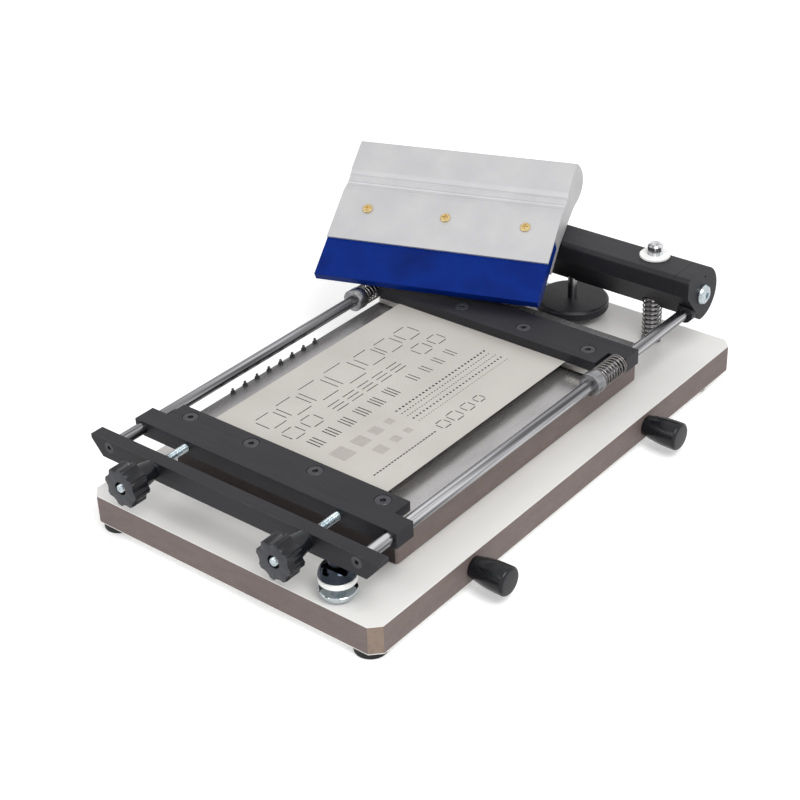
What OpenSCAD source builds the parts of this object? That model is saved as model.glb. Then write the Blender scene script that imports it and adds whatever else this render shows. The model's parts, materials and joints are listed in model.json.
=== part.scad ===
// Hand cranked stencil printing press: a laminated base board, a sliding table,
// and a hinged tension frame that holds a metal foil between two clamp bars.
// All sizes are in millimetres. X runs along the width, Y from front to back, Z up.

/* [Base board] */
// Width of the base board
base_w = 350; // [300:1:420]
// Depth of the base board
base_d = 600; // [560:1:720]
// Thickness of the base board with both laminates
base_t = 30; // [26:0.5:40]
// Length cut off both edges at each upright corner of the base board
base_cut = 10; // [6:0.5:16]
// Thickness of each laminate
laminate_t = 0.8; // [0.5:0.1:1.5]
// Height of the rubber feet
foot_h = 8; // [5:0.5:14]
// Diameter of the rubber feet
foot_d = 25; // [18:1:30]
// Distance of the front feet from the front edge
foot_front = 16; // [14:1:60]
// Distance of the rear feet from the rear edge
foot_rear = 50; // [20:1:80]
// Distance of the feet from the side edges
foot_side = 20; // [18:1:40]

/* [Table] */
// Height of the table's top above the base board
table_h = 42; // [36:0.5:52]
// Distance of the table's front edge from the front of the base board
table_front = 82; // [78:1:100]
// Distance of the table's rear edge from the rear of the base board
table_rear = 125; // [110:1:150]
// Gap under the table that its glides fill
table_gap = 1; // [0.6:0.1:2]
// Thickness of the sheet on the table's top
table_sheet_t = 1; // [0.6:0.1:2]
// Sideways travel of the table each way
table_travel = 2; // [1:0.5:2.5]
// Diameter of the register pins
pin_d = 3; // [2:0.1:4]
// Height of the register pins above the table
pin_h = 6; // [5:0.5:11]
// Spacing of the register pins
pin_pitch = 17.5; // [14:0.5:20]

/* [Tension frame] */
// Diameter of the two frame rods
rod_d = 12; // [10:0.5:16]
// Height of the rod axes above the base board
rod_h = 54.6; // [53:0.1:60]
// Distance of the rod axes from the side edges of the base board
rod_inset = 26; // [24:1:34]
// Thickness of the front bar, front to back
bar_t = 14; // [12:0.5:20]
// Height of the front bar
bar_h = 20.8; // [18:0.2:28]
// Distance of the front bar from the front of the base board
bar_front = 10; // [8:1:16]
// Total height of a clamp bar with its lower jaw
clamp_h = 15.9; // [15.5:0.1:20]
// Depth of the thick part of a clamp bar that the rods pass
spine_d = 23.1; // [18:0.1:28]
// Depth of the thin lip of the front clamp bar
front_lip_d = 21.6; // [18:0.2:26]
// Depth of the thin lip of the rear clamp bar
rear_lip_d = 24; // [20:0.2:28]
// Thickness of a clamp bar's lip above the foil
lip_t = 10; // [8:0.2:12]
// Thickness of the stencil foil
foil_t = 0.2; // [0.1:0.05:0.4]
// Width of the stencil foil
foil_w = 210; // [180:1:230]
// Diameter of the tension studs
stud_d = 8; // [6:0.5:10]
// Distance of the studs from the centre of the machine
stud_x = 92; // [80:1:110]
// Diameter across the lobes of a star knob
knob_d = 40; // [34:1:46]
// Travel of the clamp bars when the foil is tightened
tension_travel = 6; // [4:0.5:8]

/* [Rear beam and hinge] */
// Distance of the hinge axis from the rear of the base board
pivot_rear = 45; // [42:1:60]
// Height of the hinge axis above the base board
pivot_h = 72.5; // [70:0.5:78]
// Radius of the beam's round back about the hinge axis
beam_r = 29; // [27:0.5:32]
// Thickness of the hinged end blocks, along the beam
block_t = 17.7; // [16:0.1:22]
// Diameter of the hinge pins
pivot_d = 10; // [8:0.5:12]
// Diameter of the guide posts
post_d = 16; // [12:0.5:18]
// Distance of the guide posts from the centre of the machine
post_x = 101; // [90:1:115]
// Height of the guide posts above the base board
post_h = 114; // [112:1:120]
// Diameter of the height disc
disc_d = 80; // [60:1:90]
// Upward travel of the beam on its posts
lift_travel = 8; // [4:0.5:8]

/* [Handles and front rest] */
// Distance of the front handle from the front of the base board
handle_front = 137; // [125:1:160]
// Distance of the rear handle from the rear of the base board
handle_rear = 173; // [160:1:200]
// Height of the handle axes above the floor
handle_h = 23; // [21:0.5:28]
// Length of a handle outside the board
handle_l = 40; // [30:1:50]
// Largest diameter of a handle
handle_d = 29; // [22:1:32]
// Diameter of the front rest disc
rest_d = 34.7; // [30:0.1:38]
// Height of the front rest disc with its neck
rest_h = 16.5; // [14:0.5:18]

/* [Squeegee] */
// Length of the squeegee
squeegee_l = 246; // [200:1:250]
// Height of the squeegee's front from blade edge to top
squeegee_h = 180; // [172:1:188]
// Thickness of the blade
blade_t = 14; // [10:0.5:15]
// Height of blade that shows below the holder
blade_out = 48; // [40:1:55]
// Height ground off the blade's rear lower corner, upright
edge_bevel = 4.2; // [4.1:0.1:4.5]
// Turn of the squeegee about the upright, as it lies on the frame
squeegee_yaw = 19.5; // [16:0.1:22]
// Lean of the squeegee back from the upright
squeegee_lean = 62; // [61:0.1:64]

/* [Springs] */
// Wire diameter of the post springs
post_wire = 1.8; // [1.2:0.1:2.2]
// Curls of each post spring
post_curls = 12; // [8:1:14]
// Wire diameter of the rod springs
rod_wire = 1.8; // [1.2:0.1:2.2]
// Curls of each rod spring
rod_curls = 8; // [5:1:10]

/* [Fits] */
// Radial clearance of parts that turn or slide in each other
run_fit = 0.05; // [0.02:0.01:0.1]
// Gap between different moving bodies
body_gap = 0.3; // [0.2:0.05:0.6]

/* [Hidden] */
$fn = 64;
deck = foot_h + base_t;
core_t = base_t - 2 * laminate_t;
pivot_y = base_d - pivot_rear;
pivot_z = deck + pivot_h;
rod_x = base_w / 2 - rod_inset;
rod_z = deck + rod_h;
table_left = -(rod_x - 8.5);
table_right = rod_x - 17;
table_back = base_d - table_rear;
table_top = deck + table_h;
bar_back = bar_front + bar_t;
bar_half = base_w / 2 - 2.7;
bar_low = deck + 41.6;
bar_top = bar_low + bar_h;
clamp_low = rod_z - 8.1;
clamp_top = clamp_low + clamp_h;
foil_top = clamp_top - lip_t;
foil_low = foil_top - foil_t;
spine_front = bar_back + 28.5;
lip_front_end = spine_front + spine_d + front_lip_d;
rear_spine_back = pivot_y - 120;
rear_spine_front = rear_spine_back - spine_d;
rear_lip_end = rear_spine_front - rear_lip_d;
lip_half = rod_x - 12;
clamp_half = rod_x + 8.5;
front_screw_y = lip_front_end - 12.2;
rear_screw_y = rear_lip_end + 19;
screw_xs = [-116.6, -38.9, 38.9, 116.6];
beam_half = rod_x - 8;
block_in = beam_half + body_gap;
block_out = block_in + block_t;
stud_z = deck + 54;
stud_tip = -31;
knob_face = stud_tip + 1;
washer_t = 1.5;
handle_ys = [handle_front, base_d - handle_rear];
nut_x = 60;
nut_w = 24;
nut_d = 16;
nut_low = handle_h - 10;
spindle_d = 8;
bush_d = 18;
rest_x = 117.5;
rest_y = 20;
rest_ring_t = 6.5;
collar_w = 18;
spring_front = rear_spine_front - 34;
collar_front = spring_front - collar_w;
bush_low = deck + 58;
beam_top = pivot_z + 27.2;
post_spring_d = post_d + 5;
height_d = 10;
disc_low = deck + 9;
disc_t = 13;
screw_d = 5;
sq_x = -197.9;
sq_y = rear_lip_end - 31.7;
sq_z = clamp_top + blade_t * sin(squeegee_lean) + 0.1;
blade_hidden = 31;
holder_back = [
    [blade_t + 7.6, blade_out + 3], [blade_t + 7.6, 88], [23, 97], [25.6, 110], [28.4, 125],
    [30.8, 136], [33.2, 146], [36, 154], [39.6, 161], [43, squeegee_h - 12],
    [45, squeegee_h - 4], [45.3, squeegee_h + 3], [43.4, squeegee_h + 9],
    [38, squeegee_h + 13], [29, squeegee_h + 14.2], [17, squeegee_h + 11],
    [6, squeegee_h + 6], [0, squeegee_h + 2.4], [-2, squeegee_h + 0.6]
];
holder_front = [
    [-2.6, squeegee_h - 1.2], [-2.6, 143], [-1, 139.5], [0.3, 136], [-0.8, 134.5], [0.8, 133],
    [1.4, 127.6], [0.2, 126], [1.1, 124.4], [0.4, 120.6], [-1, 119], [-0.7, 117.4], [-2.6, 112],
    [-2.6, blade_out]
];
// The finished box is centred on the origin in plan, and stands on the floor plane.
reach = max([for (p = holder_back) p[0] * cos(squeegee_lean) + p[1] * sin(squeegee_lean)]);
x_min = sq_x - reach * sin(squeegee_yaw);
x_max = base_w / 2 + handle_l;
y_min = stud_tip;
y_max = max(base_d, sq_y + squeegee_l * sin(squeegee_yaw) + reach * cos(squeegee_yaw));
shift_x = -(x_min + x_max) / 2;
shift_y = -(y_min + y_max) / 2;

board_brown = "#8b7b70";
laminate_white = "#e4e4e2";
anodised = "#3d3d42";
steel = "#b9bcc0";
zinc = "#c8d0d4";
rubber = "#1c1c1e";
nylon = "#ecebe6";

// Moves machine coordinates to the frame of the finished object.
module place() {
    translate([shift_x, shift_y, 0]) children();
}

// Upright plate with its corners cut off flat, centred on x, its front edge at y = 0.
module cut_plate(w, d, h, c) {
    linear_extrude(h) polygon([
        [c - w / 2, 0], [w / 2 - c, 0], [w / 2, c], [w / 2, d - c],
        [w / 2 - c, d], [c - w / 2, d], [-w / 2, d - c], [-w / 2, c]
    ]);
}

// Upright plate with rounded corners, centred on x, its front edge at y = 0.
module rounded_plate(w, d, h, r) {
    translate([-w / 2 + r, 0, 0]) cube([w - 2 * r, d, h]);
    translate([-w / 2, r, 0]) cube([w, d - 2 * r, h]);
    for (x = [-w / 2 + r, w / 2 - r]) {
        for (y = [r, d - r]) {
            translate([x, y, 0]) cylinder(h = h, r = r);
        }
    }
}

// Cylinder that runs along y from y0 to y1.
module y_rod(d, y0, y1) {
    translate([0, y0, 0]) rotate([-90, 0, 0]) cylinder(h = y1 - y0, d = d);
}

// Cylinder that runs along x from x0 to x1.
module x_rod(d, x0, x1) {
    translate([x0, 0, 0]) rotate([0, 90, 0]) cylinder(h = x1 - x0, d = d);
}

// Disc with both edges bevelled, standing on z = 0.
module bevelled_disc(d, h, c) {
    rotate_extrude() polygon([
        [0, 0], [d / 2 - c, 0], [d / 2, c], [d / 2, h - c], [d / 2 - c, h], [0, h]
    ]);
}

// Countersunk screw that points down from z = 0, with a hexagon socket.
module countersunk(d, head_d, l, key) {
    difference() {
        union() {
            rotate_extrude() polygon([
                [0, -l], [d / 2 - 0.4, -l], [d / 2, -l + 0.5], [d / 2, -(head_d - d) / 2 - 0.4],
                [head_d / 2, -0.4], [head_d / 2, 0], [0, 0]
            ]);
        }
        translate([0, 0, -2.2]) cylinder(h = 3, d = key / cos(30), $fn = 6);
    }
}

// Seat for such a screw: a through hole and a conical sink, open at z = 0.
module screw_seat(d, head_d, l) {
    rotate_extrude() polygon([
        [0, -l], [d / 2, -l], [d / 2, -(head_d - d) / 2 - 0.4],
        [head_d / 2, -0.4], [head_d / 2, 0.5], [0, 0.5]
    ]);
}

// Points of a compression spring's centre line along z, closed over half a curl at each end.
function coil_turn(t, n) = t * 360 * n;
function coil_rise(t, n, wire, len) =
    let (c = t * n, lead = wire + 0.6, pitch = (len - wire - 2 * lead) / (n - 2))
    wire / 2 + (c < 1 ? c * lead : (c > n - 1 ? lead + (n - 2) * pitch + (c - n + 1) * lead
    : lead + (c - 1) * pitch));
function coil_point(t, n, r, wire, len) =
    [r * cos(coil_turn(t, n)), r * sin(coil_turn(t, n)), coil_rise(t, n, wire, len)];

// Rings of the tube: two straight leads and eight rings for each curl.
function coil_path(n, r, wire, len) =
    let (
        body = [for (i = [0 : 8 * n]) coil_point(i / (8 * n), n, r, wire, len)],
        head = [r, -wire * 1.05, wire / 2],
        tail = [r, wire * 1.05, len - wire / 2]
    )
    concat([head], body, [tail]);

function unit(v) = v / norm(v);
function path_dir(p, i) =
    i == 0 ? unit(p[1] - p[0])
    : (i == len(p) - 1 ? unit(p[i] - p[i - 1]) : unit(p[i + 1] - p[i - 1]));
function ring_points(c, dir, r) =
    let (side = unit(cross(dir, [0, 0, 1])), up = cross(side, dir))
    [for (k = [0 : 5]) c + r * (cos(60 * k) * side + sin(60 * k) * up)];
function tube_points(p, r) =
    [for (i = [0 : len(p) - 1]) each ring_points(p[i], path_dir(p, i), r)];
function tube_faces(m) = concat(
    [[for (k = [0 : 5]) k]],
    [for (i = [0 : m - 2]) for (k = [0 : 5]) each [
        [i * 6 + k, (i + 1) * 6 + k, (i + 1) * 6 + (k + 1) % 6],
        [i * 6 + k, (i + 1) * 6 + (k + 1) % 6, i * 6 + (k + 1) % 6]
    ]],
    [[for (k = [5 : -1 : 0]) (m - 1) * 6 + k]]
);
// Least distance between the tube's surfaces, taken over points half a curl or more apart.
function tube_gap(p, wire) = min([
    for (i = [0 : len(p) - 1]) for (j = [i + 5 : 1 : len(p) - 1]) norm(p[i] - p[j]) - wire
]);

// One compression spring of outer diameter od that stands on z = 0.
module coil_spring(n, od, wire, len) {
    p = coil_path(n, (od - wire) / 2, wire, len);
    polyhedron(points = tube_points(p, wire / 2), faces = tube_faces(len(p)), convexity = 10);
}

// Base board and the pieces fixed in it

module base_core() {
    color(board_brown) place() difference() {
        translate([0, 0, foot_h + laminate_t]) cut_plate(base_w, base_d, core_t, base_cut);
        for (x = [-post_x, post_x]) {
            translate([x, pivot_y, foot_h + 6]) cylinder(h = base_t, d = post_d);
            translate([x, pivot_y, 0]) cylinder(h = base_t, d = 6);
            translate([x, pivot_y, foot_h]) cylinder(h = 4, d1 = 13, d2 = 5);
        }
        translate([0, pivot_y, 0]) cylinder(h = 2 * base_t, d = bush_d);
        translate([rest_x, rest_y, deck - 14]) cylinder(h = 20, d = 8);
        for (x = [-1, 1]) {
            for (y = [foot_front, base_d - foot_rear]) {
                translate([x * (base_w / 2 - foot_side), y, foot_h]) cylinder(h = 17, d = 4);
            }
        }
        for (y = handle_ys) {
            translate([0, y, handle_h]) x_rod(bush_d, base_w / 2 - 25, base_w);
            translate([0, y, handle_h]) x_rod(12, nut_x - 42, base_w / 2);
            translate([nut_x - nut_w / 2 - table_travel - 1, y - nut_d / 2 - body_gap, nut_low - 0.5])
                cube([nut_w + 2 * table_travel + 2, nut_d + 2 * body_gap, base_t]);
        }
    }
}

module base_laminates() {
    color(laminate_white) place() {
        difference() {
            translate([0, 0, deck - laminate_t]) cut_plate(base_w, base_d, laminate_t, base_cut);
            for (x = [-post_x, post_x]) {
                translate([x, pivot_y, 0]) cylinder(h = 2 * base_t, d = post_d);
            }
            translate([0, pivot_y, 0]) cylinder(h = 2 * base_t, d = bush_d);
            translate([rest_x, rest_y, 0]) cylinder(h = 2 * base_t, d = 8);
            for (y = handle_ys) {
                translate([nut_x - nut_w / 2 - table_travel - 1, y - nut_d / 2 - body_gap, foot_h])
                    cube([nut_w + 2 * table_travel + 2, nut_d + 2 * body_gap, 2 * base_t]);
            }
        }
        difference() {
            translate([0, 0, foot_h]) cut_plate(base_w, base_d, laminate_t, base_cut);
            for (x = [-post_x, post_x]) {
                translate([x, pivot_y, foot_h]) cylinder(h = 4, d1 = 13, d2 = 5);
            }
            translate([0, pivot_y, 0]) cylinder(h = 2 * base_t, d = bush_d);
            for (x = [-1, 1]) {
                for (y = [foot_front, base_d - foot_rear]) {
                    translate([x * (base_w / 2 - foot_side), y, 0]) cylinder(h = 17, d = 4);
                }
            }
        }
    }
}

module rubber_feet() {
    color(rubber) place() for (x = [-1, 1]) {
        for (y = [foot_front, base_d - foot_rear]) {
            translate([x * (base_w / 2 - foot_side), y, 0]) difference() {
                rotate_extrude() polygon([
                    [0, 0], [foot_d / 2 - 3, 0], [foot_d / 2 - 2, 0.8],
                    [foot_d / 2, foot_h], [0, foot_h]
                ]);
                translate([0, 0, -1]) cylinder(h = foot_h + 2, d = 4);
                translate([0, 0, -1]) cylinder(h = foot_h / 2 + 1, d = 10);
            }
        }
    }
}

module foot_screws() {
    color(zinc) place() for (x = [-1, 1]) {
        for (y = [foot_front, base_d - foot_rear]) {
            translate([x * (base_w / 2 - foot_side), y, foot_h / 2]) {
                cylinder(h = foot_h / 2 + 15, d = 4);
                translate([0, 0, -2.6]) difference() {
                    bevelled_disc(8, 2.6, 0.5);
                    for (a = [0, 90]) {
                        rotate(a) translate([-2.2, -0.4, -1]) cube([4.4, 0.8, 2.4]);
                    }
                }
            }
        }
    }
}

module guide_posts() {
    color(steel) place() for (x = [-post_x, post_x]) {
        translate([x, pivot_y, foot_h + 6]) difference() {
            union() {
                cylinder(h = base_t - 6 + post_h - 2, d = post_d);
                translate([0, 0, base_t - 6 + post_h - 2]) cylinder(h = 2, d1 = post_d, d2 = post_d - 4);
            }
            translate([0, 0, -1]) cylinder(h = 18, d = 6);
        }
    }
}

module post_screws() {
    color(zinc) place() for (x = [-post_x, post_x]) {
        translate([x, pivot_y, foot_h]) mirror([0, 0, 1]) countersunk(6, 12, 20, 4);
    }
}

module post_springs() {
    color(steel) place() for (x = [-post_x, post_x]) {
        translate([x, pivot_y, deck]) coil_spring(post_curls, post_spring_d, post_wire, bush_low - deck);
    }
}

module thrust_bush() {
    color(nylon) place() translate([0, pivot_y, 0]) difference() {
        union() {
            translate([0, 0, foot_h + 6]) cylinder(h = base_t - 6, d = bush_d);
            translate([0, 0, deck]) cylinder(h = 2, d = 26);
        }
        cylinder(h = 3 * base_t, d = spindle_d + 2 * run_fit);
    }
}

module rest_disc() {
    color(zinc) place() translate([rest_x, rest_y, deck]) {
        rotate_extrude() polygon([
            [0, 0], [rest_d / 2 - 4.8, 0], [rest_d / 2 - 4.2, 0.6], [rest_d / 2, 7], [rest_d / 2, 8],
            [rest_d / 2 - 0.8, 8.8], [6.5, 8.8], [6, 9.3], [6, rest_h], [0, rest_h]
        ]);
        translate([0, 0, -14]) cylinder(h = 14, d = 8);
    }
}

module handle_bushes() {
    color(nylon) place() for (y = handle_ys) {
        translate([0, y, handle_h]) difference() {
            x_rod(bush_d, base_w / 2 - 18, base_w / 2);
            x_rod(spindle_d + 2 * run_fit, 0, base_w);
        }
    }
}

// Height screw under the beam

module height_disc() {
    color(anodised) place() translate([0, pivot_y, disc_low]) difference() {
        bevelled_disc(disc_d, disc_t, 2.5);
        translate([0, 0, -1]) cylinder(h = disc_t + 2, d = height_d);
    }
}

module height_spindle() {
    color(steel) place() translate([0, pivot_y, 0]) {
        translate([0, 0, foot_h + 2.5]) cylinder(h = 1, d = spindle_d);
        translate([0, 0, foot_h + 3.5]) cylinder(h = 2, d = spindle_d - 2);
        translate([0, 0, foot_h + 5.5]) cylinder(h = base_t - 3, d = spindle_d);
        translate([0, 0, deck + 2 + run_fit]) cylinder(h = 7 - run_fit, d = 14);
        translate([0, 0, deck + 9]) cylinder(h = 50, d = height_d);
    }
}

module spindle_ring() {
    color(steel) place() translate([0, pivot_y, foot_h + 3.5]) difference() {
        cylinder(h = 2, d = 15);
        translate([0, 0, -1]) cylinder(h = 4, d = spindle_d - 2);
    }
}

// Rear beam and the hinged end blocks

// Section of the beam about the hinge axis, y to the right and z up.
module beam_section() {
    difference() {
        union() {
            circle(r = beam_r, $fn = 96);
            translate([-beam_r - 0.5, 0]) square([beam_r + 10.5, 22.2]);
            translate([-beam_r + 4.5, 0]) square([beam_r + 5.5, 27.2]);
            translate([-beam_r + 4.5, 22.2]) circle(r = 5);
        }
        translate([-50, 27.2]) square([100, 20]);
        polygon([[-60, 6.5], [-beam_r - 0.5, 6.5], [-2, -28.7], [-2, -60], [-60, -60]]);
    }
}

module beam_solid(x0, x1) {
    translate([x0, pivot_y, pivot_z]) rotate([90, 0, 90]) linear_extrude(x1 - x0) beam_section();
}

module rear_beam() {
    color(anodised) place() difference() {
        beam_solid(-beam_half, beam_half);
        for (x = [-post_x, post_x]) {
            translate([x, pivot_y, 0]) cylinder(h = 2 * pivot_z, d = post_d + 4);
            translate([x, pivot_y, 0]) cylinder(h = bush_low, d = post_spring_d + 1.6);
        }
        translate([0, pivot_y, 0]) cylinder(h = pivot_z + 14, d = height_d + 2 * run_fit);
        for (s = [-1, 1]) {
            translate([s * (beam_half - 24), pivot_y, pivot_z]) rotate([0, 90, 0])
                cylinder(h = 60, d = pivot_d - 2, center = true);
        }
    }
}

module post_bushes() {
    color(nylon) place() for (x = [-post_x, post_x]) {
        translate([x, pivot_y, 0]) difference() {
            union() {
                translate([0, 0, bush_low]) cylinder(h = beam_top - bush_low, d = post_d + 4);
                translate([0, 0, beam_top]) bevelled_disc(post_d * 2, 3, 0.6);
            }
            cylinder(h = 2 * pivot_z, d = post_d + 2 * run_fit);
        }
    }
}

module pivot_bolt() {
    x_rod(pivot_d - 2, beam_half - 22, beam_half);
    x_rod(pivot_d, beam_half, block_out + body_gap);
    difference() {
        translate([block_out + body_gap, 0, 0]) rotate([0, 90, 0]) rotate_extrude() polygon([
            [0, 0], [10.5, 0], [10.5, 1.6], [9.4, 3.7], [7, 5.1], [0, 5.5]
        ]);
        translate([block_out + body_gap + 2.6, 0, 0]) rotate([0, 90, 0])
            cylinder(h = 4, d = 6 / cos(30), $fn = 6);
    }
}

module pivot_bolts() {
    color(steel) place() for (s = [0, 1]) {
        mirror([s, 0, 0]) translate([0, pivot_y, pivot_z]) pivot_bolt();
    }
}

module end_block() {
    difference() {
        union() {
            beam_solid(block_in, block_out);
            intersection() {
                translate([rod_x, 0, rod_z]) y_rod(rod_d + 8, pivot_y - 19, pivot_y);
                translate([block_in, 0, 0]) cube([block_t, base_d, rod_z + 8]);
            }
        }
        translate([0, pivot_y, pivot_z]) x_rod(pivot_d + 2 * run_fit, 0, base_w);
        translate([rod_x, 0, rod_z]) y_rod(rod_d, 0, pivot_y + 12);
        translate([rod_x, pivot_y + 2, 0]) cylinder(h = rod_z, d = screw_d);
        translate([block_out - 7, pivot_y + 4, pivot_z + 18.5]) rotate([0, 90, 0])
            cylinder(h = 20, d = 2.6);
    }
}

module left_end_block() {
    color(anodised) place() mirror([1, 0, 0]) end_block();
}

module right_end_block() {
    color(anodised) place() end_block();
}

module frame_rod(x) {
    translate([x, 0, rod_z]) difference() {
        y_rod(rod_d, bar_front + 6, pivot_y + 12);
        y_rod(6, 0, bar_front + 24);
    }
}

module left_rod() {
    color(steel) place() frame_rod(-rod_x);
}

module right_rod() {
    color(steel) place() frame_rod(rod_x);
}

module rod_lock_screws() {
    color(anodised) place() for (x = [-rod_x, rod_x]) {
        translate([x, pivot_y + 2, rod_z - rod_d / 2 - 4.5]) difference() {
            cylinder(h = 4.5, d = screw_d);
            translate([0, 0, -1]) cylinder(h = 3, d = 2.5 / cos(30), $fn = 6);
        }
    }
}

// Front bar

module front_bar() {
    color(anodised) place() difference() {
        translate([0, bar_back, bar_low]) rotate([90, 0, 0]) linear_extrude(bar_t) polygon([
            [-bar_half + 13, 0], [bar_half - 13, 0], [bar_half, bar_h - 5], [bar_half, bar_h - 0.6],
            [bar_half - 0.6, bar_h], [-bar_half + 0.6, bar_h], [-bar_half, bar_h - 0.6],
            [-bar_half, bar_h - 5]
        ]);
        for (x = [-rod_x, rod_x]) {
            translate([x, bar_front, rod_z]) rotate([90, 0, 0]) screw_seat(6, 11.5, 40);
            translate([x, 0, rod_z]) y_rod(rod_d, bar_front + 6, base_d);
        }
        for (x = [-stud_x, stud_x]) {
            translate([x, 0, stud_z]) y_rod(stud_d + 2 * body_gap, 0, bar_back + 5);
        }
        translate([rest_x, rest_y, bar_low - 1]) cylinder(h = 13, d = 6 + 2 * run_fit);
    }
}

module rod_end_screws() {
    color(anodised) place() for (x = [-rod_x, rod_x]) {
        translate([x, bar_front, rod_z]) rotate([90, 0, 0]) countersunk(6, 11.5, 20, 4);
    }
}

module rod_collars() {
    color(zinc) place() for (x = [-rod_x, rod_x]) {
        translate([x, collar_front, rod_z]) rotate([-90, 0, 0]) difference() {
            bevelled_disc(2 * rod_d - 0.5, collar_w, 0.6);
            translate([0, 0, -1]) cylinder(h = collar_w + 2, d = rod_d);
            translate([0, 0, collar_w / 2]) rotate([90, 0, 0]) cylinder(h = 30, d = screw_d);
        }
    }
}

module collar_screws() {
    color(zinc) place() for (x = [-rod_x, rod_x]) {
        translate([x, collar_front + collar_w / 2, rod_z + rod_d / 2]) difference() {
            cylinder(h = 5, d = screw_d);
            translate([0, 0, 3]) cylinder(h = 3, d = 2.5 / cos(30), $fn = 6);
        }
    }
}

module rod_springs() {
    color(steel) place() for (x = [-rod_x, rod_x]) {
        translate([x, spring_front, rod_z]) rotate([-90, 0, 0])
            coil_spring(rod_curls, rod_d + 10, rod_wire, rear_spine_front - spring_front);
    }
}

// Front rest

module foot_cup() {
    color(zinc) place() translate([rest_x, rest_y, deck + rest_h + rest_ring_t]) difference() {
        rotate_extrude() polygon([
            [0, 0], [rest_d / 2 - 0.8, 0], [rest_d / 2, 0.8], [rest_d / 2, 1.8],
            [rest_d / 2 - 4.2, 8.4], [rest_d / 2 - 6, 9.6], [8, 10.4],
            [8, bar_low - deck - rest_h - rest_ring_t],
            [0, bar_low - deck - rest_h - rest_ring_t]
        ]);
        translate([0, 0, 6]) cylinder(h = 30, d = 6);
    }
}

module foot_ring() {
    color(nylon) place() translate([rest_x, rest_y, deck + rest_h + run_fit])
        bevelled_disc(rest_d, rest_ring_t - run_fit, 1);
}

module foot_stud() {
    color(zinc) place() translate([rest_x, rest_y, deck + rest_h + rest_ring_t + 6])
        cylinder(h = bar_low + 11 - deck - rest_h - rest_ring_t - 6, d = 6);
}

// Star knobs

module knob_outline() {
    circle(d = knob_d - 5);
    for (k = [0 : 7]) {
        rotate(k * 45) translate([knob_d / 2 - 8.5, 0]) circle(r = 8.5);
    }
}

module star_knob(x) {
    translate([x, knob_face, stud_z]) rotate([-90, 0, 0]) difference() {
        union() {
            intersection() {
                linear_extrude(18) knob_outline();
                bevelled_disc(knob_d, 18, 1.5);
            }
            translate([0, 0, 17]) cylinder(h = bar_front - knob_face - 17 - washer_t, d1 = 26, d2 = 19);
        }
        translate([0, 0, -1]) cylinder(h = 60, d = stud_d);
        translate([0, 0, -1]) cylinder(h = 4, d = 13);
    }
}

module left_star_knob() {
    color(anodised) place() star_knob(-stud_x);
}

module right_star_knob() {
    color(anodised) place() star_knob(stud_x);
}

module knob_washer(x) {
    translate([x, 0, stud_z]) difference() {
        y_rod(16, bar_front - washer_t, bar_front - run_fit);
        y_rod(stud_d, 0, bar_back);
    }
}

module left_knob_washer() {
    color(zinc) place() knob_washer(-stud_x);
}

module right_knob_washer() {
    color(zinc) place() knob_washer(stud_x);
}

// Clamp bars, foil and studs

// Upper part of a clamp bar, its thick side at y = 0, the lip towards +y.
module clamp_bar(lip_d, screw_y) {
    difference() {
        union() {
            translate([-clamp_half, 0, 0]) cube([2 * clamp_half, spine_d, clamp_h]);
            translate([-lip_half, spine_d - 1, clamp_h - lip_t]) cube([2 * lip_half, lip_d + 1, lip_t]);
        }
        for (x = [-rod_x, rod_x]) {
            translate([x, 0, rod_z - clamp_low]) y_rod(rod_d + 2 * run_fit, -1, spine_d + 1);
        }
        for (x = screw_xs) {
            translate([x, screw_y, clamp_h]) screw_seat(screw_d, 10, 20);
        }
    }
}

module front_clamp_bar() {
    color(anodised) place() translate([0, spine_front, clamp_low]) difference() {
        clamp_bar(front_lip_d, front_screw_y - spine_front);
        for (x = [-stud_x, stud_x]) {
            translate([x, 0, stud_z - clamp_low]) y_rod(stud_d, -1, 16);
        }
    }
}

module rear_clamp_bar() {
    color(anodised) place() translate([0, rear_spine_back, clamp_low]) mirror([0, 1, 0])
        clamp_bar(rear_lip_d, rear_spine_back - rear_screw_y);
}

// Lower jaw under a lip, between y0 and y1.
module jaw(y0, y1, screw_y) {
    difference() {
        translate([-lip_half + 3, y0, clamp_low]) cube([2 * lip_half - 6, y1 - y0, foil_low - clamp_low]);
        for (x = screw_xs) {
            translate([x, screw_y, 0]) cylinder(h = 2 * rod_z, d = screw_d);
        }
    }
}

module front_jaw() {
    color("#b4b2ae") place() jaw(spine_front + spine_d + 0.5, lip_front_end + 1.5, front_screw_y);
}

module rear_jaw() {
    color("#b4b2ae") place() jaw(rear_lip_end - 1.5, rear_spine_front - 0.5, rear_screw_y);
}

module clamp_screws() {
    color(anodised) place() {
        for (x = screw_xs) {
            translate([x, front_screw_y, clamp_top]) countersunk(screw_d, 10, 14, 3);
            translate([x, rear_screw_y, clamp_top]) countersunk(screw_d, 10, 14, 3);
        }
    }
}

module stencil_foil() {
    color("#cfcac6") place() difference() {
        translate([-foil_w / 2 - 2.5, spine_front + spine_d + 1, foil_low])
            cube([foil_w, rear_spine_front - spine_front - spine_d - 2, foil_t]);
        for (x = screw_xs) {
            translate([x, front_screw_y, 0]) cylinder(h = 2 * rod_z, d = screw_d + 1);
            translate([x, rear_screw_y, 0]) cylinder(h = 2 * rod_z, d = screw_d + 1);
        }
    }
}

module tension_studs() {
    color(zinc) place() for (x = [-stud_x, stud_x]) {
        translate([x, 0, stud_z]) y_rod(stud_d - 2 * run_fit, stud_tip, spine_front + 16);
    }
}

// Sliding table

// Plate with the table's outline, from z0 to z1.
module table_plate(z0, z1) {
    translate([(table_left + table_right) / 2, table_front, z0])
        rounded_plate(table_right - table_left, table_back - table_front, z1 - z0, 3.5);
}

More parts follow.
